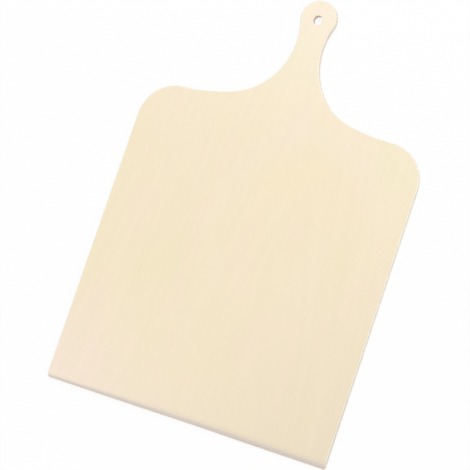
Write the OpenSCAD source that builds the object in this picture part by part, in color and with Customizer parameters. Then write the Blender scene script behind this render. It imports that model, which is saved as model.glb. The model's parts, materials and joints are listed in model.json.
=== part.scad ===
// Pizza serving board: five veneers pressed into a thin plywood sheet and cut
// to a broad blade with rounded shoulders and a short waisted handle.
// Millimetres, Z up. The underside lies on z = 0, the handle points along +Y,
// and the Z axis runs through the middle of the board's length and width.
// The outline is mirror symmetric: each side is one straight line and four
// arcs, every arc tangent to the next.

/* [Board] */
// Overall length, leading edge to handle end
board_len = 430; // [380:5:500]
// Width across the straight sides
blade_w = 300; // [250:5:340]
// Radius of the leading corners, seen from above
corner_r = 2; // [2:0.5:6]
// Radius of the rounded shoulders
shoulder_r = 37.5; // [28:0.5:46]

/* [Handle] */
// Radius of the round end of the handle
head_r = 18.5; // [17:0.5:24]
// Narrowest width of the neck
neck_w = 28; // [22:0.5:32]
// Radius of the hollow on each side of the neck
neck_r = 67; // [52:1:80]
// Radius of the shallow sweep from that hollow out to the shoulder
sweep_r = 180; // [140:5:260]
// Clear distance that the sweep bridges, between the circles it joins
sweep_gap = 9.1; // [6:0.1:16]

/* [Hanging hole] */
// Diameter of the drilled hole
hole_d = 9.5; // [6:0.5:14]
// From the handle end to the centre of the hole
hole_from_end = 20; // [14:0.5:26]
// Width of the small bevel round both mouths of the hole
hole_ease = 0.6; // [0.2:0.1:1]

/* [Veneers] */
// Thickness of the face veneer and of the back veneer
face_ply = 1.2; // [0.8:0.1:1.8]
// Thickness of each crossband
cross_ply = 1.2; // [0.8:0.1:1.8]
// Thickness of the core veneer
core_ply = 1.2; // [0.8:0.1:2.4]

/* [Leading edge] */
// How far back the thinned leading edge starts
nose_len = 8; // [5:0.5:12]
// Height of the plain edge left below it
nose_land = 1.8; // [1.2:0.1:2.8]
// How far its rounded slope stands out from a straight bevel
nose_crown = 0.75; // [0.2:0.05:0.8]

/* [Eased edges] */
// Width of the bevel round the top face
top_ease = 0.8; // [0.3:0.1:1.2]
// Width of the bevel round the underside
under_ease = 0.5; // [0.2:0.1:0.9]

/* [Hidden] */
$fn = 96;

// How far every cutter runs past the surface it cuts
overrun = 0.2;
// How far each arc of the outline runs past its neighbour
trace = 0.002;

board_t = 2 * face_ply + 2 * cross_ply + core_ply;
half_w = blade_w / 2;
front_y = -board_len / 2;

// Centres of the arcs on the +X side, worked out from the handle end down:
// each circle touches the one before it, with the sweep between the last two
head_c = [0, board_len / 2 - head_r];
neck_x = neck_w / 2 + neck_r;
neck_c = [neck_x, head_c.y - drop(head_r + neck_r, neck_x)];
shoulder_x = half_w - shoulder_r;
shoulder_c = [shoulder_x,
              neck_c.y - drop(neck_r + sweep_gap + shoulder_r, shoulder_x - neck_x)];
sweep_c = far_corner(neck_c, sweep_r - neck_r, shoulder_c, sweep_r + shoulder_r);
corner_c = [half_w - corner_r, front_y + corner_r];

// Directions of the tangent points, seen from the centres
shoulder_a = heading(shoulder_c, sweep_c);
sweep_a = heading(sweep_c, neck_c);
head_a = heading(head_c, neck_c);

hole_c = [0, board_len / 2 - hole_from_end];
hole_r = hole_d / 2;

// The thinned leading edge is an arc from the top face down to the plain edge
nose_drop = board_t - nose_land;
nose_chord = norm([nose_len, nose_drop]);
nose_r = (pow(nose_chord / 2, 2) + pow(nose_crown, 2)) / (2 * nose_crown);
nose_mid = [front_y + nose_len / 2, nose_land + nose_drop / 2];
nose_c = nose_mid + (nose_r - nose_crown) / nose_chord * [nose_drop, -nose_len];

function drop(slant, side) = sqrt(pow(slant, 2) - pow(side, 2));

function heading(from, to) = atan2(to.y - from.y, to.x - from.x);

function at(centre, r, a) = centre + r * [cos(a), sin(a)];

// Where circles of radii ra and rb about a and b cross, on the handle side
function far_corner(a, ra, b, rb) =
    let (gap = norm(b - a), dir = (b - a) / gap,
         along = (pow(gap, 2) + pow(ra, 2) - pow(rb, 2)) / (2 * gap))
    a + along * dir + drop(ra, along) * [-dir.y, dir.x];

function mirrored(points) = [for (i = [len(points) - 1:-1:0]) [-points[i].x, points[i].y]];

module both_sides() for (side = [0, 1]) mirror([side, 0, 0]) children();

// Disc or cone of radius r at z = 0, narrowing by lean as it rises
module disc(centre, r, low, high, lean)
    translate([centre.x, centre.y, low])
        cylinder(r1 = r - lean * low, r2 = r - lean * high, h = high - low);

// The outline of the board as a solid from low to high. With lean 0 its walls
// are upright; with lean 1 they slope in at 45 degrees as they rise, and meet
// the outline at z = 0. Stock and cutters run past each other, and each arc
// runs a trace past tangency, so that neighbours always cross.
module blank(low, high, lean) {
    stock = [low - overrun, high + overrun];
    cut = [low - 2 * overrun, high + 2 * overrun];
    intersection() {
        rotate([90, 0, 0])
            linear_extrude(2 * board_len, center = true)
                polygon([[-half_w + lean * low, low], [half_w - lean * low, low],
                         [half_w - lean * high, high], [-half_w + lean * high, high]]);
        rotate([90, 0, 90])
            linear_extrude(2 * blade_w, center = true)
                polygon([[front_y + lean * stock[0], stock[0]], [board_len, stock[0]],
                         [board_len, stock[1]], [front_y + lean * stock[1], stock[1]]]);
        difference() {
            union() {
                slab(stock) rough_shape();
                disc(head_c, head_r, stock[0], stock[1], lean);
                both_sides() disc(shoulder_c, shoulder_r + trace, stock[0], stock[1], lean);
            }
            both_sides() {
                disc(neck_c, neck_r + 2 * trace, cut[0], cut[1], -lean);
                intersection() {
                    disc(sweep_c, sweep_r + trace, cut[0], cut[1], -lean);
                    slab(cut + [-overrun, overrun])
                        translate(sweep_c) rotate(sweep_a) square(2 * sweep_r);
                }
                difference() {
                    slab(cut) translate(corner_c) rotate(-90) square(blade_w);
                    disc(corner_c, corner_r + trace, cut[0] - overrun, cut[1] + overrun, lean);
                }
            }
        }
    }
}

module slab(span)
    translate([0, 0, span[0]]) linear_extrude(span[1] - span[0]) children();

// Rough stock below the shoulders, and up to the head for the hollows to be cut from
module rough_shape() {
    right = [[blade_w, 2 * front_y],
             [blade_w, shoulder_c.y],
             shoulder_c,
             at(shoulder_c, shoulder_r + overrun, shoulder_a),
             at(sweep_c, sweep_r - overrun, sweep_a),
             at(head_c, head_r + overrun, head_a),
             head_c];
    polygon(concat(right, mirrored(right)));
}

// Everything above the rounded slope of the leading edge
module nose_cut()
    rotate([90, 0, 90])
        linear_extrude(blade_w + 2 * overrun, center = true)
            difference() {
                polygon([[front_y + nose_len + overrun, board_t + overrun],
                         [front_y - overrun, board_t + overrun],
                         [front_y - overrun, nose_land],
                         nose_c]);
                translate(nose_c) circle(r = nose_r);
            }

module hole_cut()
    translate(hole_c) {
        translate([0, 0, -overrun]) cylinder(r = hole_r, h = board_t + 2 * overrun);
        translate([0, 0, board_t]) hole_mouth();
        mirror([0, 0, 1]) hole_mouth();
    }

// Cone that bevels the hole where it breaks out of a face at z = 0
module hole_mouth()
    translate([0, 0, -hole_ease])
        cylinder(r1 = hole_r, r2 = hole_r + hole_ease + overrun, h = hole_ease + overrun);

// One veneer of the pressed sheet, with the cuts that reach it
module veneer(z, t)
    difference() {
        intersection() {
            translate([0, 0, z]) blank(0, t, 0);
            if (z + t > board_t - top_ease)
                translate([0, 0, board_t - top_ease])
                    blank(-t, top_ease + overrun, 1);
            if (z < under_ease)
                translate([0, 0, under_ease]) mirror([0, 0, 1])
                    blank(-t, under_ease + overrun, 1);
        }
        hole_cut();
        if (z + t > nose_land) nose_cut();
    }

module face_veneer() color([0.95, 0.89, 0.78]) veneer(board_t - face_ply, face_ply);

module upper_crossband()
    color([0.86, 0.78, 0.66]) veneer(face_ply + cross_ply + core_ply, cross_ply);

module core_veneer() color([0.92, 0.85, 0.73]) veneer(face_ply + cross_ply, core_ply);

module lower_crossband() color([0.86, 0.78, 0.66]) veneer(face_ply, cross_ply);

module back_veneer() color([0.94, 0.87, 0.75]) veneer(0, face_ply);

face_veneer();
upper_crossband();
core_veneer();
lower_crossband();
back_veneer();
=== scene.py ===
"""Looks of a pizza serving board: five veneers pressed into one sheet and left bare.

Lengths are in metres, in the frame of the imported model. The underside lies on z = 0,
the handle points along +Y, and the Z axis runs through the middle of the board. Each
veneer is a mesh of its own, and all five are cut by the same outline and edge, so
that their layers show in the side walls, in the hole and in the thinned leading edge.
"""

import json
import logging
import math
from dataclasses import dataclass, field, replace
from enum import Enum
from typing import Mapping, Sequence

import bpy
from mathutils import Matrix, Vector


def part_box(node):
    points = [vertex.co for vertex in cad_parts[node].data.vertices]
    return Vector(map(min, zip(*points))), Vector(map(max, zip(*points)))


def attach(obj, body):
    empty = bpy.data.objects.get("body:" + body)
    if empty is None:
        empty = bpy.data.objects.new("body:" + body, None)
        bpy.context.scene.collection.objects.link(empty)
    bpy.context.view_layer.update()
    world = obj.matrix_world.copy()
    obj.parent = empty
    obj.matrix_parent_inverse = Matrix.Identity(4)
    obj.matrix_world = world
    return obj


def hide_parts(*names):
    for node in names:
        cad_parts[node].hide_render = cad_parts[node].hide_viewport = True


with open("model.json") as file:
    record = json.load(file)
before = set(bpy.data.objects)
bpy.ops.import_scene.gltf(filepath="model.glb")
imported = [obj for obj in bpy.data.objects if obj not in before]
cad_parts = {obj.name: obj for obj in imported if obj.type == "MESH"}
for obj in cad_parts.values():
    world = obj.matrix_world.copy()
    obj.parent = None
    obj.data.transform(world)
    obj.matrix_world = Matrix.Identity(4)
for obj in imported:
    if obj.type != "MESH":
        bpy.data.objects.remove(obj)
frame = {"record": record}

LOG = logging.getLogger("serving_board")
BODY = "root"
MM = 0.001
# Decimal places of a metre that count when two heights or widths are compared
PLACES = 6
# What noise comes to on average
EVEN = 0.5
WHITE = (1.0, 1.0, 1.0, 1.0)

Point = tuple[float, float]
Colour = tuple[float, float, float, float]


class Fibre(Enum):
    """Which way the fibres of a veneer run, as a direction of the board."""

    ALONG = (0.0, 1.0, 0.0)
    ACROSS = (1.0, 0.0, 0.0)


@dataclass(frozen=True)
class Tone:
    """A colour as it should look, each channel from 0 to 255."""

    red: float
    green: float
    blue: float

    def linear(self) -> Colour:
        """The colour as light, with full alpha.

        Returns:
            Four numbers from 0 to 1.
        """
        def decode(channel: float) -> float:
            """One channel as light, by the sRGB curve."""
            share = channel / 255
            return share / 12.92 if share <= 0.04045 else ((share + 0.055) / 1.055) ** 2.4

        return (decode(self.red), decode(self.green), decode(self.blue), 1.0)


class Signal:
    """A value socket of a node graph. Arithmetic on it adds the Math nodes that do it."""

    def __init__(self, graph: "Graph", socket: bpy.types.NodeSocket) -> None:
        """Wraps one output socket of the graph."""
        self.graph = graph
        self.socket = socket

    def _calculate(self, operation: str, *values: "Signal | float") -> "Signal":
        """Adds one Math node that takes the values in order."""
        return self.graph.node("ShaderNodeMath", {"operation": operation}, dict(enumerate(values)))

    def __add__(self, other: "Signal | float") -> "Signal":
        """Sum."""
        return self._calculate("ADD", self, other)

    __radd__ = __add__

    def __sub__(self, other: "Signal | float") -> "Signal":
        """Difference."""
        return self._calculate("SUBTRACT", self, other)

    def __rsub__(self, other: "Signal | float") -> "Signal":
        """Difference from a number."""
        return self._calculate("SUBTRACT", other, self)

    def __mul__(self, other: "Signal | float") -> "Signal":
        """Product."""
        return self._calculate("MULTIPLY", self, other)

    def __truediv__(self, other: "Signal | float") -> "Signal":
        """Quotient."""
        return self._calculate("DIVIDE", self, other)

    def __abs__(self) -> "Signal":
        """Size without its sign."""
        return self._calculate("ABSOLUTE", self)

    def root(self) -> "Signal":
        """Square root."""
        return self._calculate("SQRT", self)

    def sine(self) -> "Signal":
        """Sine of the value in radians."""
        return self._calculate("SINE", self)

    def larger(self, other: "Signal") -> "Signal":
        """The larger of two values."""
        return self._calculate("MAXIMUM", self, other)

    def ramp(self, low: float, high: float) -> "Signal":
        """Smooth step of the value.

        Args:
            low: the value at which the result is 0.
            high: the value at which it is 1.

        Returns:
            A value from 0 to 1.
        """
        return self.graph.node(
            "ShaderNodeMapRange", {"interpolation_type": "SMOOTHSTEP"},
            {"Value": self, "From Min": low, "From Max": high}, "Result")


class Graph:
    """The node graph of a material or of the world."""

    def __init__(self, owner: bpy.types.Material | bpy.types.World) -> None:
        """Gives the owner an empty graph.

        Args:
            owner: the material or the world.
        """
        owner.use_nodes = True
        self.owner = owner
        self.nodes = owner.node_tree.nodes
        self.links = owner.node_tree.links
        self.nodes.clear()

    def node(self, kind: str, settings: Mapping[str, object] | None = None,
             inputs: Mapping[int | str, object] | None = None,
             output: int | str = 0) -> Signal:
        """Adds a node, sets it up and feeds its sockets.

        Args:
            kind: the node's type.
            settings: its own settings, which are set before its sockets.
            inputs: a value or a signal for each socket, by name or by place.
            output: the socket that is wanted, by name or by place.

        Returns:
            The wanted output.
        """
        made = self.nodes.new(kind)
        for name, value in (settings or {}).items():
            setattr(made, name, value)
        for key, value in (inputs or {}).items():
            socket = made.inputs[key]
            if isinstance(value, Signal):
                self.links.new(value.socket, socket)
            else:
                socket.default_value = value
        return Signal(self, made.outputs[output])

    def mix(self, share: Signal | float, first: Signal | Colour, second: Signal | Colour,
            blend: str = "MIX") -> Signal:
        """Blends a share of the second colour, from 0 to 1, over the first."""
        return self.node("ShaderNodeMix", {"data_type": "RGBA", "blend_type": blend},
                         {0: share, 6: first, 7: second}, 2)

    def shade(self, colour: Signal, level: Signal) -> Signal:
        """Multiplies all three channels of a colour by one value."""
        grey = self.node("ShaderNodeCombineColor", None, dict.fromkeys(("Red", "Green", "Blue"), level))
        return self.mix(1.0, colour, grey, "MULTIPLY")

    def vector(self, x: Signal | float, y: Signal | float, z: Signal | float) -> Signal:
        """Three values as one vector."""
        return self.node("ShaderNodeCombineXYZ", None, {"X": x, "Y": y, "Z": z})

    def noise(self, place: Signal, detail: float, roughness: float = 0.5) -> Signal:
        """Smooth noise with features about one unit of the place apart.

        Args:
            place: where to read it, as a vector.
            detail: how many finer layers it has.
            roughness: how strong the finer layers are.

        Returns:
            A value from 0 to 1, near 0.5 on average.
        """
        return self.node("ShaderNodeTexNoise", {"noise_dimensions": "3D"},
                         {"Vector": place, "Scale": 1.0, "Detail": detail,
                          "Roughness": roughness})

    def seen(self) -> Signal:
        """1 for what the camera sees directly, in a reflection or through glass.

        Returns:
            1 for such rays, and 0 for those that only light the scene.
        """
        direct, mirrored, refracted = (
            self.node("ShaderNodeLightPath", None, None, f"Is {ray} Ray")
            for ray in ("Camera", "Glossy", "Transmission"))
        return direct.larger(mirrored).larger(refracted)

    def finish(self, surface: Signal,
               output: str = "ShaderNodeOutputMaterial") -> bpy.types.Material | bpy.types.World:
        """Joins the finished shader to an output node, and hands over the material or the world."""
        self.links.new(surface.socket, self.nodes.new(output).inputs["Surface"])
        return self.owner


@dataclass(frozen=True)
class Spot:
    """One point of a veneer's surface, as its material reads it."""

    graph: Graph
    # Place in the frame of the board
    x: Signal
    y: Signal
    z: Signal
    # The same place, measured along the fibres and across them in the plane of the sheet
    along: Signal
    across: Signal
    # 1 on the faces and 0 on the walls
    lying: Signal
    # 1 where the fibres are cut square across and 0 where they run along the surface
    endwise: Signal

    @classmethod
    def read(cls, graph: Graph, fibre: Fibre) -> "Spot":
        """Reads the place and the direction of the surface.

        Args:
            graph: the graph to build in.
            fibre: which way the fibres run.

        Returns:
            The point that is being shaded.
        """
        place = graph.node("ShaderNodeTexCoord", None, None, "Object")
        normal = graph.node("ShaderNodeNewGeometry", None, None, "Normal")
        x, y, z = (graph.node("ShaderNodeSeparateXYZ", None, {0: place}, axis) for axis in "XYZ")
        rise = graph.node("ShaderNodeSeparateXYZ", None, {0: normal}, "Z")
        lean = graph.node("ShaderNodeVectorMath", {"operation": "DOT_PRODUCT"},
                          {0: normal, 1: fibre.value}, "Value")
        along, across = (y, x) if fibre is Fibre.ALONG else (x, y)
        return cls(graph, x, y, z, along, across, abs(rise), abs(lean))


@dataclass(frozen=True)
class Grain:
    """Noise drawn out along the fibres, by its features per metre each way."""

    across: float
    along: float
    detail: float
    roughness: float = 0.5
    shift: float = 0.0

    def over(self, spot: Spot, seed: float) -> Signal:
        """The noise over a face, the same all through the sheet."""
        return self._at(spot, seed + self.shift)

    def through(self, spot: Spot, seed: float) -> Signal:
        """The noise through the wood, so that the cut edges show it too."""
        return self._at(spot, spot.z * self.across + seed)

    def _at(self, spot: Spot, depth: Signal | float) -> Signal:
        """The noise at one depth."""
        place = spot.graph.vector(spot.across * self.across, spot.along * self.along, depth)
        return spot.graph.noise(place, self.detail, self.roughness)


@dataclass(frozen=True)
class Fade:
    """How a tone comes in: none of it at one value, and its full share at another."""

    low: float
    high: float
    share: float = 1.0

    def of(self, value: Signal) -> Signal:
        """How much of the tone there is at a value."""
        return value.ramp(self.low, self.high) * self.share


@dataclass(frozen=True)
class PaintedLightWash:
    """Painted light and shade: a broad change of tone, paler or darker, that comes in along one
    direction of the board.
    """

    x: float
    y: float
    fade: Fade
    tone: Tone

    def over(self, spot: Spot, colour: Signal) -> Signal:
        """Lays this painted light and shade over a colour."""
        reach = self.fade.of(spot.x * self.x + spot.y * self.y)
        return spot.graph.mix(reach, colour, self.tone.linear())


@dataclass(frozen=True)
class Figure:
    """Growth figure of a sliced veneer: lines beside its heart, and an oval round it."""

    heart_x: float = 0.045
    heart_depth: float = 0.030
    ring_width: float = 0.0115
    rise: float = 0.17
    # How far the lines stray, in rings
    waver: float = 0.9
    unevenness: float = 2.2
    drift: Grain = Grain(14, 4.5, 2.0)
    # How often the spacing and the strength of the lines change, per ring and per metre
    spread_rate: float = 0.45
    strength_rate: tuple[float, float] = (0.8, 3.0)
    line_detail: float = 1.0
    strength: Fade = Fade(0.3, 0.7)
    depth: float = 0.014
    oval_y: float = -0.020
    oval_width: float = 0.082
    oval_length: float = 0.108
    oval_stray: float = 0.22
    stray: Grain = Grain(26, 16, 2.0, shift=4.0)
    # The warm crown inside the oval, by the distance ahead and by the oval's own measure
    crown: Tone = Tone(249, 231, 198)
    crown_ahead: Fade = Fade(0.0, 0.06)
    crown_edge: Fade = Fade(0.6, 0.95)
    crown_share: float = 0.3
    # The pale band on the oval, which is stronger towards the handle
    halo: Tone = Tone(246, 233, 212)
    halo_edge: Fade = Fade(0.02, 0.22)
    halo_ahead: Fade = Fade(-0.06, 0.0)
    halo_share: float = 0.22
    halo_lift: Fade = Fade(0.05, 0.1, 0.18)

    def lay(self, spot: Spot, colour: Signal, seed: float) -> Signal:
        """Lays the oval and the growth lines over the colour of a face.

        Args:
            spot: the point that is being shaded.
            colour: the colour of the plain sheet.
            seed: a number that sets one sheet apart from another.

        Returns:
            The colour with the figure in it.
        """
        graph = spot.graph
        oval = self._oval(spot, seed)
        ahead = spot.along - self.oval_y
        crown = self.crown_ahead.of(ahead) * (1 - self.crown_edge.of(oval))
        halo = (1 - self.halo_edge.of(abs(oval - 1))) * self.halo_ahead.of(ahead)
        colour = graph.mix(crown * self.crown_share, colour, self.crown.linear())
        colour = graph.mix(halo * (self.halo_lift.of(ahead) + self.halo_share), colour,
                           self.halo.linear())
        return graph.shade(colour, 1 - self._lines(spot, seed) * (self.depth / 2))

    def _lines(self, spot: Spot, seed: float) -> Signal:
        """Light and dark growth lines.

        Args:
            spot: the point that is being shaded.
            seed: a number that sets one sheet apart from another.

        Returns:
            A value from -1 to 1.
        """
        graph = spot.graph
        offset = spot.across - self.heart_x
        distance = (offset * offset + self.heart_depth ** 2).root()
        drift = (self.drift.over(spot, seed) - EVEN) * (2 * self.waver)
        count = (distance + spot.along * self.rise) / self.ring_width + drift
        spread = graph.noise(graph.vector(count * self.spread_rate, seed, 0.0), self.line_detail)
        per_ring, per_metre = self.strength_rate
        place = graph.vector(count * per_ring, spot.along * per_metre, seed)
        strength = self.strength.of(graph.noise(place, self.line_detail))
        return ((count + spread * self.unevenness) * math.tau).sine() * strength

    def _oval(self, spot: Spot, seed: float) -> Signal:
        """Distance from the middle of the broad oval that the lines close round.

        Args:
            spot: the point that is being shaded.
            seed: a number that sets one sheet apart from another.

        Returns:
            0 at the middle and 1 on the oval.
        """
        aside = (spot.across - self.heart_x) / self.oval_width
        ahead = (spot.along - self.oval_y) / self.oval_length
        stray = (self.stray.over(spot, seed) - EVEN) * self.oval_stray
        return (aside * aside + ahead * ahead).root() + stray


@dataclass(frozen=True)
class VeneerFinish:
    """Bare, sanded birch, with the fibres, pores and layers that its cut shows, and painted light and
    shade on its faces and walls.
    """

    fibre: Fibre
    seed: float
    # The faces: cream, with clouds of straw and a blush of rose
    cream: Tone = Tone(246, 231, 203)
    straw: Tone = Tone(243, 231, 196)
    cloud: Grain = Grain(22, 9, 3.0)
    cloud_fade: Fade = Fade(0.3, 0.8, 0.8)
    rose: Tone = Tone(247, 228, 207)
    blush: Grain = Grain(30, 12, 2.0, shift=9.0)
    blush_fade: Fade = Fade(0.45, 0.85, 0.7)
    # Painted light and shade: paler towards the handle, towards the right and at the front left corner,
    # darker at the front right corner
    painted_light_washes: tuple[PaintedLightWash, ...] = (
        PaintedLightWash(0.0, 1.0, Fade(0.02, 0.24, 0.75), Tone(250, 239, 220)),
        PaintedLightWash(1.0, 0.5, Fade(0.08, 0.22, 0.6), Tone(247, 237, 208)),
        PaintedLightWash(-0.5, -1.0, Fade(0.16, 0.28, 0.72), Tone(246, 229, 214)),
        PaintedLightWash(0.9, -1.0, Fade(0.08, 0.44, 0.9), Tone(236, 222, 197)),
    )
    figure: Figure = Figure()
    # Fibres, as fine and broad streaks
    fine: Grain = Grain(1900, 34, 3.0, 0.6)
    broad: Grain = Grain(260, 5, 3.0, 0.6)
    fine_share: float = 0.55
    fibre_depth: float = 0.07
    # Pores, which come in patches
    pore: Tone = Tone(200, 176, 140)
    vessels: Grain = Grain(3600, 190, 1.0)
    patches: Grain = Grain(60, 14, 2.0)
    patch_share: float = 0.25
    pore_fade: Fade = Fade(0.66, 0.78)
    pore_depth: float = 0.25
    # Walls: their own tone, and painted light that makes them paler along the middle of the long sides
    wall: Tone = Tone(248, 239, 226)
    wall_share: float = 0.85
    face_edge: Fade = Fade(0.86, 0.995)
    painted_light_wall: Tone = Tone(254, 248, 232)
    painted_light_share: float = 0.85
    painted_light_from: Fade = Fade(-0.2, -0.05)
    painted_light_until: Fade = Fade(0.07, 0.12)
    painted_light_edge: Fade = Fade(0.2, 0.75)
    # Cut ends of the fibres, dark with pale dots
    end_dark: Tone = Tone(207, 187, 179)
    end_pale: Tone = Tone(242, 226, 219)
    dots: Grain = Grain(5200, 900, 3.0)
    dot_fade: Fade = Fade(0.25, 0.8)
    end_fade: Fade = Fade(0.2, 0.9, 0.7)
    glue: Tone = Tone(178, 158, 134)
    glue_width: float = 0.08 * MM
    glue_share: float = 0.75
    roughness: float = 0.62
    streak_roughness: float = 0.12
    end_roughness: float = 0.15
    gloss: float = 0.25
    # Relief: its full depth, and how far streaks stand up and pores sink in
    grain_relief: float = 0.03 * MM
    relief_strength: float = 0.6
    streak_relief: float = 0.5
    pore_relief: float = 0.8

    @classmethod
    def crossband(cls, seed: float) -> "VeneerFinish":
        """A veneer laid across the others, which shows only where the edge is cut."""
        return cls(Fibre.ACROSS, seed, wall=Tone(235, 220, 211), end_dark=Tone(212, 202, 185),
                   end_pale=Tone(243, 230, 220))

    @classmethod
    def core(cls, seed: float) -> "VeneerFinish":
        """The middle veneer, which also shows only where the edge is cut."""
        return cls(Fibre.ALONG, seed, wall=Tone(240, 230, 217), end_dark=Tone(214, 196, 187),
                   end_pale=Tone(243, 230, 220))

    def material(self, name: str, glued: Sequence[float]) -> bpy.types.Material:
        """Makes the material of one veneer.

        Args:
            name: the material's name.
            glued: the heights of its glued faces.

        Returns:
            The finished material.
        """
        graph = Graph(bpy.data.materials.new(name))
        spot = Spot.read(graph, self.fibre)
        streaks = self._streaks(spot)
        pores = self._pores(spot)
        colour = graph.shade(self._face_colour(spot), 1 - (streaks - EVEN) * self.fibre_depth)
        colour = graph.mix(pores * self.pore_depth, colour, self.pore.linear())
        colour = self._cut_colour(spot, colour)
        for height in glued:
            line = 1 - abs(spot.z - height).ramp(0.0, self.glue_width)
            colour = graph.mix(line * self.glue_share, colour, self.glue.linear())
        rough = (self.roughness + (streaks - EVEN) * self.streak_roughness
                 + spot.endwise * self.end_roughness)
        bump = graph.node("ShaderNodeBump", None, {
            "Strength": self.relief_strength, "Distance": self.grain_relief,
            "Height": streaks * self.streak_relief - pores * self.pore_relief})
        return graph.finish(graph.node("ShaderNodeBsdfPrincipled", None, {
            "Base Color": colour, "Roughness": rough, "Normal": bump,
            "Specular IOR Level": self.gloss}))

    def _streaks(self, spot: Spot) -> Signal:
        """Fine fibres and broader streaks, from 0 to 1."""
        fine, broad = (grain.through(spot, self.seed) for grain in (self.fine, self.broad))
        return fine * self.fine_share + broad * (1 - self.fine_share)

    def _pores(self, spot: Spot) -> Signal:
        """Short dark vessel lines, from 0 to 1."""
        patch = (self.patches.through(spot, -self.seed) - EVEN) * self.patch_share
        return self.pore_fade.of(self.vessels.through(spot, self.seed) + patch)

    def _face_colour(self, spot: Spot) -> Signal:
        """The colour of the sheet's faces, with their painted light and shade, before the fine fibres.

        Args:
            spot: the point that is being shaded.

        Returns:
            The colour.
        """
        graph = spot.graph
        cloud = self.cloud_fade.of(self.cloud.over(spot, self.seed))
        blush = self.blush_fade.of(self.blush.over(spot, self.seed))
        colour = graph.mix(cloud, self.cream.linear(), self.straw.linear())
        colour = graph.mix(blush, colour, self.rose.linear())
        # Painted light and shade over the faces
        for painted_wash in self.painted_light_washes:
            colour = painted_wash.over(spot, colour)
        return self.figure.lay(spot, colour, self.seed)

    def _cut_colour(self, spot: Spot, colour: Signal) -> Signal:
        """Tints what the sanded walls show, paints light onto the middle of the long walls, and darkens
        the ends of the fibres.

        Args:
            spot: the point that is being shaded.
            colour: the colour that a face would have there.

        Returns:
            The colour with the cut's own tints and the painted light on the walls, which leave the
            faces alone.
        """
        graph = spot.graph
        # Painted light: the long walls paler along their middle
        painted_wall_light = self.painted_light_from.of(spot.y) * (1 - self.painted_light_until.of(spot.y))
        painted_wall_light = painted_wall_light * (1 - self.painted_light_edge.of(spot.lying)) * self.painted_light_share
        wall = graph.mix(painted_wall_light, self.wall.linear(), self.painted_light_wall.linear())
        wall = graph.mix(self.wall_share, colour, wall)
        colour = graph.mix(1 - self.face_edge.of(spot.lying), colour, wall)
        dots = self.dot_fade.of(self.dots.through(spot, self.seed))
        ends = graph.mix(dots, self.end_dark.linear(), self.end_pale.linear())
        return graph.mix(self.end_fade.of(spot.endwise), colour, ends)


@dataclass(frozen=True)
class Level:
    """One height of the board's edge, and how far the edge has drawn in there."""

    z: float
    inset: float
    setback: float
    corner_r: float
    bore_r: float


@dataclass(frozen=True)
class Steps:
    """Into how many pieces each stretch of half the outline is divided."""

    front: int = 14
    corner: int = 6
    side: int = 30
    shoulder: int = 22
    sweep: int = 12
    neck: int = 26
    head: int = 20
    # Rings of faces round the hole
    rim: int = 3
    # Steps of the neck, from the sweep up, that faces join straight across
    rungs: int = 19

    @property
    def last_rung(self) -> int:
        """Number of the last outline point that is joined straight across."""
        return self.front + self.corner + self.side + self.shoulder + self.sweep + self.rungs


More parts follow.
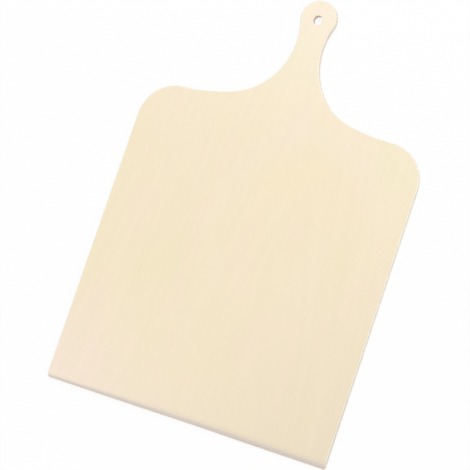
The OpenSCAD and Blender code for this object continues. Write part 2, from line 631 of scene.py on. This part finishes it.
@dataclass(frozen=True)
class Outline:
    """Plan of the board: on each side one straight line and four arcs that run together."""

    length: float
    width: float
    shoulder_r: float = 37.5 * MM
    head_r: float = 18.5 * MM
    neck_w: float = 28 * MM
    neck_r: float = 67 * MM
    sweep_r: float = 180 * MM
    sweep_gap: float = 9.1 * MM
    hole_from_end: float = 20 * MM
    steps: Steps = Steps()

    @property
    def front_y(self) -> float:
        """Where the leading edge lies."""
        return -self.length / 2

    @property
    def head(self) -> Vector:
        """Centre of the round end of the handle."""
        return Vector((0, self.length / 2 - self.head_r))

    @property
    def hole(self) -> Vector:
        """Centre of the hanging hole."""
        return Vector((0, self.length / 2 - self.hole_from_end))

    @property
    def neck(self) -> Vector:
        """Centre of the hollow beside the neck."""
        x = self.neck_w / 2 + self.neck_r
        return Vector((x, self.head.y - math.sqrt((self.head_r + self.neck_r) ** 2 - x ** 2)))

    @property
    def shoulder(self) -> Vector:
        """Centre of the rounded shoulder.

        Returns:
            A point as far from the neck's centre as the sweep's gap asks for.
        """
        x = self.width / 2 - self.shoulder_r
        reach = self.neck_r + self.sweep_gap + self.shoulder_r
        return Vector((x, self.neck.y - math.sqrt(reach ** 2 - (x - self.neck.x) ** 2)))

    @property
    def sweep(self) -> Vector:
        """Centre of the shallow sweep.

        Returns:
            The point from which an arc touches both the neck's circle and the shoulder's.
        """
        near, far = self.sweep_r - self.neck_r, self.sweep_r + self.shoulder_r
        span = self.shoulder - self.neck
        along = (span.length_squared + near ** 2 - far ** 2) / (2 * span.length)
        aside = math.sqrt(near ** 2 - along ** 2)
        ahead = span.normalized()
        return self.neck + along * ahead + aside * Vector((-ahead.y, ahead.x))

    def half(self, level: Level) -> list[Point]:
        """The right half of the outline at one level.

        Args:
            level: how far the outline has drawn in.

        Returns:
            Points from the middle of the leading edge to the top of the head.
        """
        steps = self.steps
        side_x = self.width / 2 - level.inset
        corner = Vector((side_x - level.corner_r, self.front_y + level.setback + level.corner_r))
        points = [(corner.x * k / steps.front, self.front_y + level.setback)
                  for k in range(steps.front + 1)]
        points += self._arc(corner, level.corner_r, -math.pi / 2, 0, steps.corner)
        points += [(side_x, corner.y + (self.shoulder.y - corner.y) * k / steps.side)
                   for k in range(1, steps.side + 1)]
        turn = self._heading(self.shoulder, self.sweep)
        lean = self._heading(self.sweep, self.neck)
        swing = self._heading(self.head, self.neck)
        points += self._arc(self.shoulder, self.shoulder_r - level.inset, 0, turn, steps.shoulder)
        points += self._arc(self.sweep, self.sweep_r + level.inset, turn - math.pi, lean,
                            steps.sweep)
        points += self._arc(self.neck, self.neck_r + level.inset, lean, swing - math.pi,
                            steps.neck)
        points += self._arc(self.head, self.head_r - level.inset, swing, math.pi / 2, steps.head)
        return points

    @staticmethod
    def _heading(start: Vector, end: Vector) -> float:
        """Direction from one point to another, in radians."""
        return math.atan2(end.y - start.y, end.x - start.x)

    @staticmethod
    def _arc(centre: Vector, radius: float, start: float, end: float, count: int) -> list[Point]:
        """Points of an arc, without its first one."""
        turns = [start + (end - start) * k / count for k in range(1, count + 1)]
        return [(centre.x + radius * math.cos(a), centre.y + radius * math.sin(a)) for a in turns]


@dataclass(frozen=True)
class EdgeProfile:
    """Section of the board's edge: eased arrises, and a slope along the leading edge."""

    thickness: float
    top_r: float = 0.8 * MM
    under_r: float = 0.5 * MM
    bore_r: float = 4.75 * MM
    mouth_r: float = 0.28 * MM
    # Leading corners seen from above, at the plain edge and at the top of the slope
    corner_r: float = 2.0 * MM
    slope_corner_r: float = 0.9 * MM
    # The slope: its length, the plain edge left below it, and how far it bulges
    nose_len: float = 8.0 * MM
    nose_land: float = 1.8 * MM
    nose_crown: float = 0.95 * MM
    # How far its two ends are rounded off
    land_blend: float = 0.45 * MM
    top_blend: float = 1.6 * MM
    # Width of the flat band just inside the edge of each face
    rim: float = 0.4 * MM
    least_step: float = 0.006 * MM
    arris_steps: int = 8
    blend_steps: int = 6
    slope_steps: int = 12

    def nose(self) -> list[Point]:
        """The slope of the leading edge.

        Returns:
            Points of setback and height, from the plain edge up to the top face.
        """
        drop = self.thickness - self.nose_land
        chord = math.hypot(self.nose_len, drop)
        radius = ((chord / 2) ** 2 + self.nose_crown ** 2) / (2 * self.nose_crown)
        middle = Vector((self.nose_len / 2, self.nose_land + drop / 2))
        centre = middle + Vector((drop, -self.nose_len)) * ((radius - self.nose_crown) / chord)
        foot = math.atan2(self.nose_land - centre.y, -centre.x)
        crest = math.atan2(self.thickness - centre.y, self.nose_len - centre.x)
        sweep = crest - foot if foot > crest else crest - foot - math.tau

        def on_arc(length: float) -> Point:
            """The point of the arc that far from its foot."""
            angle = foot - length / radius
            return (centre.x + radius * math.cos(angle), centre.y + radius * math.sin(angle))

        low, high = self.land_blend, abs(sweep) * radius - self.top_blend
        points = self._bend((0, self.nose_land - low), (0, self.nose_land), on_arc(low))
        points += [on_arc(low + (high - low) * k / self.slope_steps)
                   for k in range(1, self.slope_steps)]
        points += self._bend(on_arc(high), (self.nose_len, self.thickness),
                             (self.nose_len + self.top_blend, self.thickness))
        return points

    def _bend(self, start: Point, corner: Point, end: Point) -> list[Point]:
        """A curve that rounds off one corner.

        Args:
            start: where the curve leaves the first side.
            corner: the corner that it passes by.
            end: where it meets the second side.

        Returns:
            The points of the curve, both ends counted.
        """
        points = []
        for k in range(self.blend_steps + 1):
            t = k / self.blend_steps
            points.append(tuple((1 - t) ** 2 * a + 2 * t * (1 - t) * b + t ** 2 * c
                                for a, b, c in zip(start, corner, end)))
        return points

    def setback(self, z: float) -> float:
        """How far back the leading edge lies.

        Args:
            z: the height.

        Returns:
            The distance from the foremost line of the board.
        """
        points = self.nose()
        if z <= points[0][1]:
            return self.inset(z)
        for (near, low), (far, high) in zip(points, points[1:]):
            if low <= z <= high and high > low:
                return near + (far - near) * (z - low) / (high - low)
        return points[-1][0]

    def inset(self, z: float) -> float:
        """How far the rounded arrises draw the outline in at one height."""
        over, under = z - (self.thickness - self.top_r), self.under_r - z
        return self._round(over, self.top_r) + self._round(under, self.under_r)

    def bore(self, z: float) -> float:
        """Radius of the hole at one height."""
        past = max(z - (self.thickness - self.mouth_r), self.mouth_r - z)
        return self.bore_r + self._round(past, self.mouth_r)

    @staticmethod
    def _round(past: float, radius: float) -> float:
        """How far a quarter round has turned away, that far past its start."""
        past = min(max(past, 0), radius)
        return radius - math.sqrt(radius ** 2 - past ** 2)

    def level(self, z: float) -> Level:
        """The edge at one height.

        Args:
            z: the height.

        Returns:
            How far the edge has drawn in there.
        """
        climb = max(0, (z - self.nose_land) / (self.thickness - self.nose_land))
        corner = self.corner_r + (self.slope_corner_r - self.corner_r) * climb
        return Level(z, self.inset(z), self.setback(z), corner, self.bore(z))

    def levels(self, joints: Sequence[float]) -> list[Level]:
        """Every level that the meshes need.

        Args:
            joints: the heights at which one veneer meets the next.

        Returns:
            Levels from the underside to the top face, with a flat rim at each end.
        """
        turns = [math.pi / 2 * k / self.arris_steps for k in range(self.arris_steps + 1)]
        heights = [self.under_r * (1 - math.cos(a)) for a in turns]
        heights += [self.thickness - self.top_r * (1 - math.sin(a)) for a in turns]
        heights += [self.thickness - self.mouth_r, self.mouth_r, *joints]
        heights += [z for _, z in self.nose() if z < self.thickness]
        kept: list[float] = []
        for z in sorted(heights):
            if not kept or z - kept[-1] >= self.least_step:
                kept.append(z)
            elif z in joints:
                kept[-1] = z
        levels = [self.level(z) for z in kept]
        return [self._rim(levels[0]), *levels, self._rim(levels[-1])]

    def _rim(self, edge: Level) -> Level:
        """A narrow flat band just inside the edge of a face."""
        return Level(edge.z, edge.inset + self.rim, edge.setback + self.rim,
                     edge.corner_r, edge.bore_r + self.rim)


@dataclass(frozen=True)
class Wave:
    """A swing of the sander that comes back a number of times round the outline."""

    count: int
    phase: float
    weight: float

    def at(self, share: float) -> float:
        """How far it leans at one place of the outline."""
        return self.weight * math.sin(math.tau * self.count * share + self.phase)


@dataclass(frozen=True)
class Wander:
    """A stretch where the saw left its line, and by how much at its middle."""

    place: float
    reach: float
    offset: float

    def at(self, share: float) -> float:
        """How far outward the cut lies at one place of the outline."""
        return self.offset * math.exp(-((share - self.place) / self.reach) ** 2)


@dataclass(frozen=True)
class HandWork:
    """The unevenness of a board that was sawn and sanded by hand.

    Places are shares of the way round the outline, anticlockwise from the handle's end.
    """

    arris_share: float = 0.16
    slope_share: float = 0.035
    # How much narrower the leading slope gets towards the left, and from where on
    slope_taper: float = 0.57
    taper_from: float = 30 * MM
    waves: tuple[Wave, ...] = (Wave(7, 0.3, 0.45), Wave(18, 1.7, 0.33), Wave(41, 4.1, 0.22))
    wanders: tuple[Wander, ...] = (
        Wander(0.901, 0.026, -1.2 * MM), Wander(0.110, 0.017, 0.6 * MM),
        Wander(0.507, 0.035, -0.4 * MM))

    def swing(self, share: float) -> float:
        """Where the sander leaned in or out, from -1 to 1."""
        return sum(wave.at(share) for wave in self.waves)

    def stray(self, share: float) -> float:
        """How far outward the saw cut at one place of the outline."""
        return sum(wander.at(share) for wander in self.wanders)

    def narrowing(self, x: float, half_width: float) -> float:
        """The share of the leading slope that is missing at one place across the board."""
        return self.slope_taper * max(0.0, self.taper_from - x) / (self.taper_from + half_width)


class Veneer:
    """One veneer of the board, built as a closed shell of quads."""

    # How far behind the leading edge the rungs still follow its waves
    wave_reach = 25 * MM

    def __init__(self, node: str, outline: Outline, levels: Sequence[Level],
                 work: HandWork) -> None:
        """Takes what the veneer is cut by.

        Args:
            node: the CAD node that it stands for.
            outline: the plan of the board.
            levels: the levels within the veneer, from its lower face to its upper.
            work: how uneven the cut is.
        """
        self.node = node
        self.outline = outline
        self.levels = list(levels)
        self.work = work
        self.vertices: list[tuple[float, float, float]] = []
        self.faces: list[tuple[int, ...]] = []
        self.creases: set[frozenset[int]] = set()

    def _ring(self, level: Level) -> list[Point]:
        """The whole outline at one level, anticlockwise from the middle of the front.

        Args:
            level: how far the outline has drawn in.

        Returns:
            The points of the closed outline.
        """
        bare = self.outline.half(replace(level, inset=0.0, setback=0.0))
        eased = self.outline.half(replace(level, setback=level.inset))
        full = self.outline.half(level)
        reach = [0.0]
        for near, far in zip(bare, bare[1:]):
            reach.append(reach[-1] + math.dist(near, far))
        points = {}
        for side in (1, -1):
            for k, places in enumerate(zip(bare, eased, full)):
                share = 0.5 + side * reach[k] / reach[-1] / 2
                swing = self.work.swing(share)
                arris = 1 + self.work.arris_share * swing
                slope = 1 + self.work.slope_share * swing - self.work.narrowing(
                    side * places[0][0], self.outline.width / 2)
                x, y = (a + (b - a) * arris + (c - b) * slope for a, b, c in zip(*places))
                out = self._outward(bare, k) * self.work.stray(share)
                points[side, k] = (side * (x + out.x), y + out.y)
        last = len(full) - 1
        return [points[1, k] for k in range(last + 1)] + [
            points[-1, k] for k in range(last - 1, 0, -1)]

    @staticmethod
    def _outward(half: Sequence[Point], k: int) -> Vector:
        """Direction straight out of the outline at one point of its right half."""
        near, far = half[max(k - 1, 0)], half[min(k + 1, len(half) - 1)]
        return Vector((far[1] - near[1], near[0] - far[0])).normalized()

    def _hole_ring(self, loop: Sequence[Point], radius: float) -> list[Point]:
        """Points of the hole's rim.

        Args:
            loop: the points of the loop round the hole.
            radius: the radius of the hole.

        Returns:
            One point of the rim for each point of the loop, in line with the centre.
        """
        centre = self.outline.hole
        points = []
        for x, y in loop:
            angle = math.atan2(y - centre.y, x - centre.x)
            points.append((centre.x + radius * math.cos(angle),
                           centre.y + radius * math.sin(angle)))
        return points

    def _add(self, points: Sequence[Point], z: float) -> list[int]:
        """Adds vertices at one height.

        Args:
            points: where they lie.
            z: their height.

        Returns:
            Their numbers.
        """
        start = len(self.vertices)
        self.vertices += [(x, y, z) for x, y in points]
        return list(range(start, len(self.vertices)))

    @staticmethod
    def _between(first: Sequence[int], second: Sequence[int]) -> list[tuple[int, ...]]:
        """Quads between two closed rings, from a point of the first to the second's."""
        turn = [*range(1, len(first)), 0]
        return [(first[k], first[n], second[n], second[k]) for k, n in enumerate(turn)]

    def _band(self, low: Sequence[int], high: Sequence[int], outward: bool) -> None:
        """Joins a lower and an upper ring with a wall that looks outward or inward."""
        self.faces += [quad if outward else quad[::-1] for quad in self._between(low, high)]

    def _head_loop(self, ring: Sequence, rung: Sequence) -> list:
        """The loop round the hole: one rung across the neck, then the head's outline."""
        last = self.outline.steps.last_rung
        return [*rung, *ring[last + 1:len(ring) - last]]

    def _rung(self, points: Sequence[Point], k: int) -> list[Point]:
        """Points from one side of the outline across to the other.

        Args:
            points: the closed outline.
            k: number of the point on the right where the rung ends.

        Returns:
            The points of the rung. Near the leading edge they follow its waves.
        """
        front = self.outline.steps.front
        left, right = points[len(points) - k], points[k]
        depth = (left[1] + right[1]) / 2 - points[0][1]
        follow = max(0.0, 1 - depth / self.wave_reach)
        rung = []
        for c in range(2 * front + 1):
            share = c / (2 * front)
            x, y = (a + (b - a) * share for a, b in zip(left, right))
            edge = points[c - front][1]
            chord = points[-front][1] + (points[front][1] - points[-front][1]) * share
            rung.append((x, y + follow * (edge - chord)))
        return rung

    def _cap(self, points: Sequence[Point], ring: Sequence[int], bore: Sequence[int],
             level: Level, upward: bool) -> None:
        """Covers one face of the veneer with quads.

        Args:
            points: the outline at this level.
            ring: the numbers of its vertices.
            bore: the numbers of the hole's vertices.
            level: the face's level.
            upward: whether the face looks up.
        """
        steps, count = self.outline.steps, len(ring)
        quads: list[tuple[int, ...]] = []
        row = [ring[(k + count) % count] for k in range(-steps.front, steps.front + 1)]
        for k in range(steps.front + 1, steps.last_rung + 1):
            across = self._rung(points, k)
            inner = self._add(across[1:-1], level.z)
            upper = [ring[count - k], *inner, ring[k]]
            quads += [(row[c], row[c + 1], upper[c + 1], upper[c]) for c in range(len(row) - 1)]
            row, edge = upper, across
        loop, loop_points = self._head_loop(ring, row), self._head_loop(points, edge)
        inside = self._hole_ring(loop_points, level.bore_r)
        for k in range(1, steps.rim + 1):
            share = k / (steps.rim + 1)
            middle = [tuple(a + (b - a) * share for a, b in zip(p, q))
                      for p, q in zip(loop_points, inside)]
            nearer = self._add(middle, level.z)
            quads += self._between(loop, nearer)
            loop = nearer
        quads += self._between(loop, bore)
        self.faces += quads if upward else [quad[::-1] for quad in quads]

    def _crease(self, ring: Sequence[int]) -> None:
        """Keeps the edges of a closed ring sharp."""
        self.creases |= {frozenset((ring[k - 1], ring[k])) for k in range(len(ring))}

    def build(self) -> bpy.types.Object:
        """Makes the mesh object.

        Returns:
            The veneer, in its place in the board.
        """
        outlines = [self._ring(level) for level in self.levels]
        rings = [self._add(points, level.z) for points, level in zip(outlines, self.levels)]
        bores = []
        for points, level in zip(outlines, self.levels):
            loop = self._head_loop(points, self._rung(points, self.outline.steps.last_rung))
            bores.append(self._add(self._hole_ring(loop, level.bore_r), level.z))
        for k in range(len(self.levels) - 1):
            self._band(rings[k], rings[k + 1], True)
            self._band(bores[k], bores[k + 1], False)
        for end, inner, upward in ((0, 1, False), (-1, -2, True)):
            self._cap(outlines[end], rings[end], bores[end], self.levels[end], upward)
            if self.levels[end].z != self.levels[inner].z:
                self._crease(rings[end])
                self._crease(bores[end])
        return self._object()

    def _object(self) -> bpy.types.Object:
        """Turns the vertices and faces into an object, smooth but for its creases.

        Returns:
            The object, linked into the scene.
        """
        mesh = bpy.data.meshes.new(f"{self.node}_sheet")
        mesh.from_pydata(self.vertices, [], self.faces)
        mesh.update()
        for polygon in mesh.polygons:
            polygon.use_smooth = True
        for edge in mesh.edges:
            edge.use_edge_sharp = frozenset(edge.vertices) in self.creases
        piece = bpy.data.objects.new(f"{self.node}_sheet", mesh)
        bpy.context.scene.collection.objects.link(piece)
        return piece


@dataclass
class PressedBoard:
    """The board itself: the veneers of the sheet, cut to one outline and dressed."""

    record: Mapping[str, object]
    finishes: Mapping[str, VeneerFinish] = field(default_factory=lambda: {
        "face_veneer": VeneerFinish(Fibre.ALONG, 3.0),
        "upper_crossband": VeneerFinish.crossband(17.0),
        "core_veneer": VeneerFinish.core(29.0),
        "lower_crossband": VeneerFinish.crossband(41.0),
        "back_veneer": VeneerFinish(Fibre.ALONG, 53.0, figure=Figure(heart_x=-0.035)),
    })
    work: HandWork = HandWork()

    def build(self) -> list[bpy.types.Object]:
        """Builds every veneer, dresses it and sets it on its body.

        Returns:
            The pieces, from the face down.
        """
        boxes = {node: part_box(node) for node in self.finishes}
        spans = {node: tuple(round(corner.z, PLACES) for corner in box)
                 for node, box in boxes.items()}
        joints = sorted({z for span in spans.values() for z in span})
        levels = EdgeProfile(joints[-1] - joints[0]).levels(joints)
        width, length = (
            round(max(high[k] for _, high in boxes.values())
                  - min(low[k] for low, _ in boxes.values()), PLACES) for k in range(2))
        outline = Outline(length, width)
        pieces = []
        for node, finish in self.finishes.items():
            bottom, top = spans[node]
            own = [level for level in levels if bottom <= round(level.z, PLACES) <= top]
            piece = Veneer(node, outline, own, self.work).build()
            glued = [z for z in (bottom, top) if joints[0] < z < joints[-1]]
            piece.data.materials.append(finish.material(f"{node}_birch", glued))
            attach(piece, BODY)
            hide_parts(node)
            LOG.info("%s: %d faces", piece.name, len(piece.data.polygons))
            pieces.append(piece)
        return pieces


@dataclass(frozen=True)
class Lamp:
    """One soft rectangular lamp."""

    name: str
    place: tuple[float, float, float]
    aim: tuple[float, float, float]
    size: tuple[float, float]
    power: float

    def build(self) -> bpy.types.Object:
        """Hangs the lamp and points it at its aim.

        Returns:
            The lamp.
        """
        data = bpy.data.lights.new(self.name, "AREA")
        data.shape = "RECTANGLE"
        data.size, data.size_y = self.size
        data.energy = self.power
        lamp = bpy.data.objects.new(self.name, data)
        lamp.location = self.place
        ray = Vector(self.aim) - Vector(self.place)
        lamp.rotation_euler = ray.to_track_quat("-Z", "Y").to_euler()
        bpy.context.scene.collection.objects.link(lamp)
        return lamp


@dataclass(frozen=True)
class View:
    """The camera, which looks down on the board from its right side."""

    place: tuple[float, float, float] = (0.75836, -0.22967, 1.88972)
    aim: tuple[float, float, float] = (-0.00876, -0.02944, 0.006)
    roll: float = math.radians(-18.8396)
    lens: float = 162.66
    sensor: float = 36.0
    shift: tuple[float, float] = (-0.00106, 0.00106)

    def build(self) -> bpy.types.Object:
        """Sets up the camera and makes it the scene's own.

        Returns:
            The camera.
        """
        data = bpy.data.cameras.new("view")
        data.sensor_fit = "HORIZONTAL"
        data.sensor_width = self.sensor
        data.lens = self.lens
        data.shift_x, data.shift_y = self.shift
        camera = bpy.data.objects.new("view", data)
        ahead = (Vector(self.aim) - Vector(self.place)).normalized()
        right = ahead.cross(Vector((0, 1, 0))).normalized()
        right = Matrix.Rotation(self.roll, 3, ahead) @ right
        turn = Matrix((right, right.cross(ahead), -ahead)).transposed().to_4x4()
        camera.matrix_world = Matrix.Translation(self.place) @ turn
        bpy.context.scene.collection.objects.link(camera)
        bpy.context.scene.camera = camera
        return camera


@dataclass(frozen=True)
class Studio:
    """A pale floor under soft, even light."""

    floor_half: float = 8.0
    floor_drop: float = 0.05 * MM
    # Paper with a faint tooth, and how much of it the camera sees as plain white
    paper: Tone = Tone(250, 250, 250)
    tooth: Tone = Tone(225, 225, 225)
    tooth_scale: float = 900.0
    tooth_detail: float = 2.0
    tooth_share: float = 0.02
    paper_roughness: float = 0.5
    floor_lift: float = 0.88
    # How bright the sky is where it only lights the scene
    sky_level: float = 0.55
    lamps: tuple[Lamp, ...] = (
        Lamp("key", (0.1, 1.9, 1.8), (0.0, 0.05, 0.0), (1.6, 1.6), 34.4),
        Lamp("side_fill", (2.5, -0.7, 1.5), (0.0, -0.05, 0.0), (1.2, 1.2), 17.0),
        Lamp("corner_fill", (-0.5, -0.65, 0.35), (-0.12, -0.2, 0.0), (0.5, 0.5), 0.9),
    )

    def build(self) -> None:
        """Lays the floor, hangs the lamps and lights the sky."""
        self._floor()
        for lamp in self.lamps:
            lamp.build()
        bpy.context.scene.world = self._sky()

    def _floor(self) -> None:
        """Lays the floor just under the board."""
        half = self.floor_half
        mesh = bpy.data.meshes.new("floor")
        corners = [(-half, -half), (half, -half), (half, half), (-half, half)]
        mesh.from_pydata([(x, y, -self.floor_drop) for x, y in corners], [], [(0, 1, 2, 3)])
        mesh.materials.append(self._floor_material())
        floor = bpy.data.objects.new("floor", mesh)
        bpy.context.scene.collection.objects.link(floor)

    def _floor_material(self) -> bpy.types.Material:
        """Pale paper that the camera sees as nearly white, with the board's shadow.

        Returns:
            The material.
        """
        graph = Graph(bpy.data.materials.new("pale_floor"))
        place = graph.node("ShaderNodeTexCoord", None, None, "Object")
        place = graph.node("ShaderNodeVectorMath", {"operation": "SCALE"},
                           {0: place, "Scale": self.tooth_scale})
        share = graph.noise(place, self.tooth_detail) * self.tooth_share
        tone = graph.mix(share, self.paper.linear(), self.tooth.linear())
        paper = graph.node("ShaderNodeBsdfDiffuse", None,
                           {"Color": tone, "Roughness": self.paper_roughness})
        glow = graph.node("ShaderNodeEmission", None, {"Color": WHITE, "Strength": 1.0})
        return graph.finish(graph.node("ShaderNodeMixShader", None, {
            0: graph.seen() * self.floor_lift, 1: paper, 2: glow}))

    def _sky(self) -> bpy.types.World:
        """Plain grey-white light from all round, seen as white.

        Returns:
            The world.
        """
        graph = Graph(bpy.data.worlds.new("sky"))
        level = graph.seen() * (1 - self.sky_level) + self.sky_level
        light = graph.node("ShaderNodeBackground", None, {"Color": WHITE, "Strength": level})
        return graph.finish(light, "ShaderNodeOutputWorld")


def main() -> None:
    """Builds the board and its studio."""
    logging.basicConfig(level=logging.INFO, format="%(name)s: %(message)s")
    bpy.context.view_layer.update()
    View().build()
    pieces = PressedBoard(frame["record"]).build()
    Studio().build()
    bpy.context.scene.view_settings.view_transform = "Standard"


if __name__ == "__main__":
    main()
